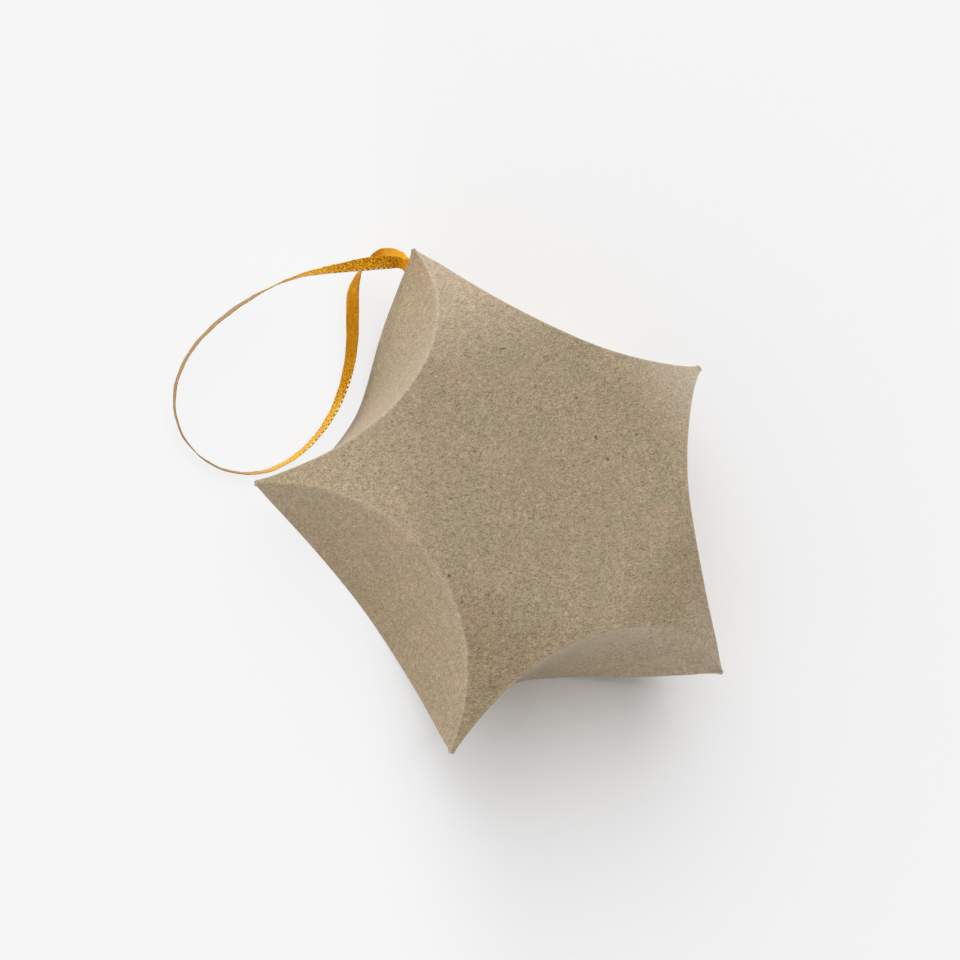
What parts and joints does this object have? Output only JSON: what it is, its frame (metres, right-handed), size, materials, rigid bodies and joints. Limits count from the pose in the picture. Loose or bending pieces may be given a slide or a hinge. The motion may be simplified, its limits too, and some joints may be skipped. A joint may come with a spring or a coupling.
{
  "type": "star favour box",
  "caption": "Hollow star-shaped favour box folded from one sheet of card along curved creases, with a loop of flat ribbon for hanging.",
  "frame": {"origin": "middle of the flat back face, which the box lies on", "axes": "+Z from the back face to the front face; +X along the arm whose point carries the ribbon"},
  "size_m": [0.1099, 0.1171, 0.032],
  "materials": {
    "kraft_card": "matt recycled kraft with fine fibres and flecks",
    "gold_ribbon": "mustard gold satin with a stitched selvedge"
  },
  "bodies": {
    "root": {"star_box": "kraft_card", "ribbon_loop": "gold_ribbon", "ribbon_knot": "gold_ribbon"}
  },
  "joints": []
}
